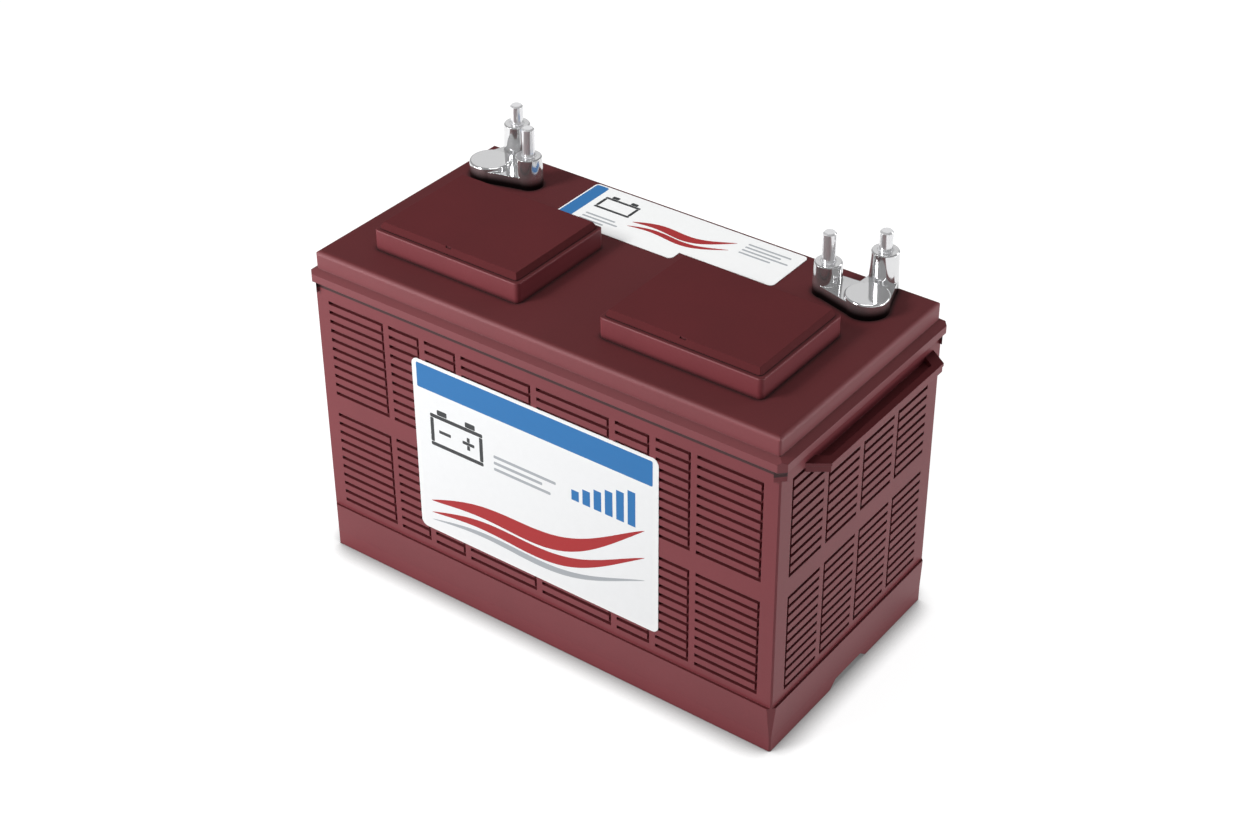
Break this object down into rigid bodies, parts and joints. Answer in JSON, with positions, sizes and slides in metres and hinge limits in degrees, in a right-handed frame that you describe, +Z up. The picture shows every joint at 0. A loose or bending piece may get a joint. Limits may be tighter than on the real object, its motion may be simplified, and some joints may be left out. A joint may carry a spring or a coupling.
{
  "type": "deep cycle battery",
  "caption": "Flooded deep cycle battery with a ribbed maroon case, lifting ledges, lift-off gang vent caps and double-stud terminals, cut down to its plates and straps.",
  "frame": {"origin": "middle of the underside, at the middle of the overall length and width", "axes": "+X along the length, -Y towards the labelled front, +Z up"},
  "size_m": [0.355, 0.1752, 0.2574],
  "materials": {
    "container_plastic": "satin maroon polypropylene",
    "cover_plastic": "satin maroon polypropylene",
    "label_film": "printed gloss film",
    "tinned_casting": "bright tinned casting",
    "stud_steel": "bright stainless steel",
    "lead": "dull cast lead",
    "positive_paste": "matt lead dioxide paste",
    "negative_paste": "matt sponge lead paste",
    "dark_plastic": "microporous dark plastic",
    "seal_rubber": "soft black rubber",
    "arrestor_plastic": "sintered white plastic"
  },
  "bodies": {
    "battery": {"container": "container_plastic", "cover": "cover_plastic", "left_vent_block": "cover_plastic", "right_vent_block": "cover_plastic", "left_filling_wells": "cover_plastic", "right_filling_wells": "cover_plastic", "front_label": "label_film", "top_label": "label_film", "cell_connectors": "lead", "negative_terminal": "tinned_casting", "negative_inner_stud": "stud_steel", "negative_rear_stud": "stud_steel", "negative_bushing": "lead", "negative_post": "lead", "positive_terminal": "tinned_casting", "positive_inner_stud": "stud_steel", "positive_rear_stud": "stud_steel", "positive_bushing": "lead", "positive_post": "lead", "positive_plates_1": "positive_paste", "positive_plates_2": "positive_paste", "positive_plates_3": "positive_paste", "positive_plates_4": "positive_paste", "positive_plates_5": "positive_paste", "positive_plates_6": "positive_paste", "negative_plates_1": "negative_paste", "negative_plates_2": "negative_paste", "negative_plates_3": "negative_paste", "negative_plates_4": "negative_paste", "negative_plates_5": "negative_paste", "negative_plates_6": "negative_paste", "separators_1": "dark_plastic", "separators_2": "dark_plastic", "separators_3": "dark_plastic", "separators_4": "dark_plastic", "separators_5": "dark_plastic", "separators_6": "dark_plastic", "positive_strap_1": "lead", "positive_strap_2": "lead", "positive_strap_3": "lead", "positive_strap_4": "lead", "positive_strap_5": "lead", "positive_strap_6": "lead", "negative_strap_1": "lead", "negative_strap_2": "lead", "negative_strap_3": "lead", "negative_strap_4": "lead", "negative_strap_5": "lead", "negative_strap_6": "lead"},
    "left_cap": {"left_cap_lid": "cover_plastic", "left_cap_plug": "container_plastic", "left_cap_seals": "seal_rubber", "left_cap_arrestors": "arrestor_plastic", "left_cap_baffles": "dark_plastic"},
    "right_cap": {"right_cap_lid": "cover_plastic", "right_cap_plug": "container_plastic", "right_cap_seals": "seal_rubber", "right_cap_arrestors": "arrestor_plastic", "right_cap_baffles": "dark_plastic"}
  },
  "joints": [
    {"name": "left_cap_lift", "type": "slide", "parent": "battery", "child": "left_cap", "axis": [0, 0, 1], "range_m": [0, 0.06]},
    {"name": "right_cap_lift", "type": "slide", "parent": "battery", "child": "right_cap", "axis": [0, 0, 1], "range_m": [0, 0.06]}
  ]
}
